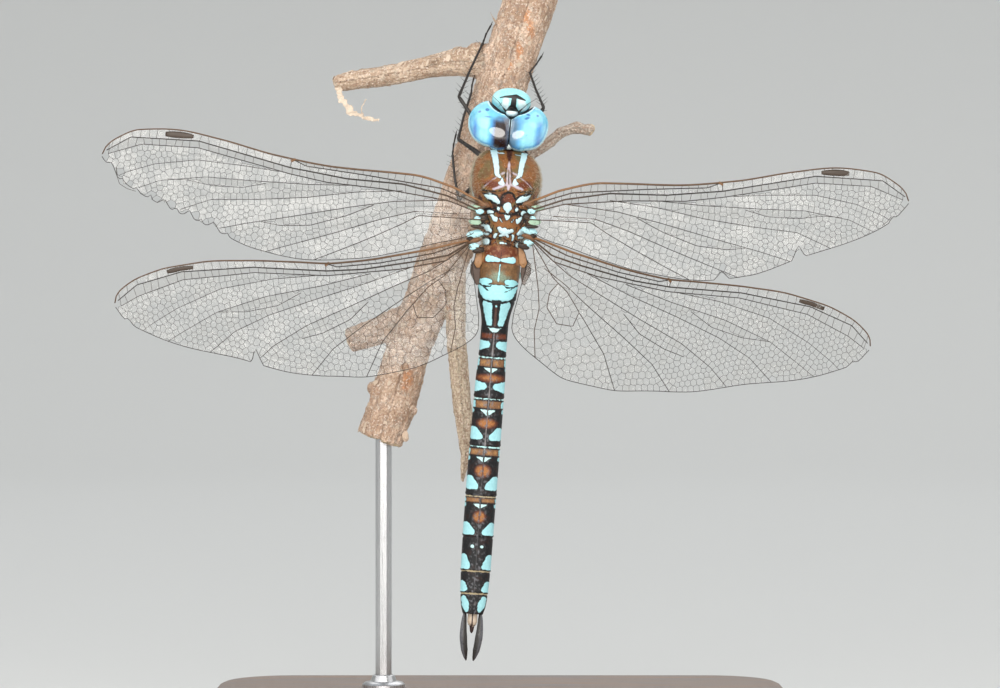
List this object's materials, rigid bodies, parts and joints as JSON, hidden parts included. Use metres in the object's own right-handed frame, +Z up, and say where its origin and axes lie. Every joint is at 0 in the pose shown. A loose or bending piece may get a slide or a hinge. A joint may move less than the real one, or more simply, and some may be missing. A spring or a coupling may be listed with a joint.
{
  "type": "dragonfly model",
  "caption": "Life-size dragonfly with outspread clear wings and a slim banded abdomen, clinging head up to a cut forked branch on a wooden display stand.",
  "frame": {"origin": "middle of the underside of the stand's base", "axes": "+Z up, +X to the insect's right along its wings, -Y towards the side its back faces; -Z is the base's resting side"},
  "size_m": [0.0956, 0.044, 0.0927],
  "materials": {
    "eye": "glossy sky blue with paler bands",
    "face": "satin pale turquoise with a black bar and stem on the frons",
    "thorax": "matt orange brown with pale blue marks and short down",
    "abdomen": "satin black and brown with sky blue spots",
    "leg": "satin black",
    "wing_membrane": "clear glossy membrane with dark veins",
    "bark": "weathered bark, rough",
    "stand_wood": "oiled dark wood, satin",
    "stand_metal": "brushed"
  },
  "bodies": {
    "root": {"abdomen_s01": "abdomen", "abdomen_s02": "abdomen", "abdomen_s03": "abdomen", "abdomen_s04": "abdomen", "abdomen_s05": "abdomen", "abdomen_s06": "abdomen", "abdomen_s07": "abdomen", "abdomen_s08": "abdomen", "abdomen_s09": "abdomen", "abdomen_s10": "abdomen", "antenna_left": "leg", "antenna_right": "leg", "cercus_left": "leg", "cercus_right": "leg", "clypeus": "face", "epiproct": "abdomen", "eye_left": "eye", "eye_right": "eye", "fore_left_femur": "leg", "fore_left_tarsus": "leg", "fore_left_tibia": "leg", "fore_right_femur": "leg", "fore_right_tarsus": "leg", "fore_right_tibia": "leg", "forewing_left": "wing_membrane", "forewing_right": "wing_membrane", "frons": "face", "head_capsule": "face", "hind_left_femur": "leg", "hind_left_tarsus": "leg", "hind_left_tibia": "leg", "hind_right_femur": "leg", "hind_right_tarsus": "leg", "hind_right_tibia": "leg", "hindwing_left": "wing_membrane", "hindwing_right": "wing_membrane", "labium": "face", "labrum": "face", "mid_left_femur": "leg", "mid_left_tarsus": "leg", "mid_left_tibia": "leg", "mid_right_femur": "leg", "mid_right_tarsus": "leg", "mid_right_tibia": "leg", "perch_branch": "bark", "prothorax": "thorax", "stand_base": "stand_wood", "stand_rod": "stand_metal", "synthorax": "thorax", "vertex": "face"}
  },
  "joints": []
}
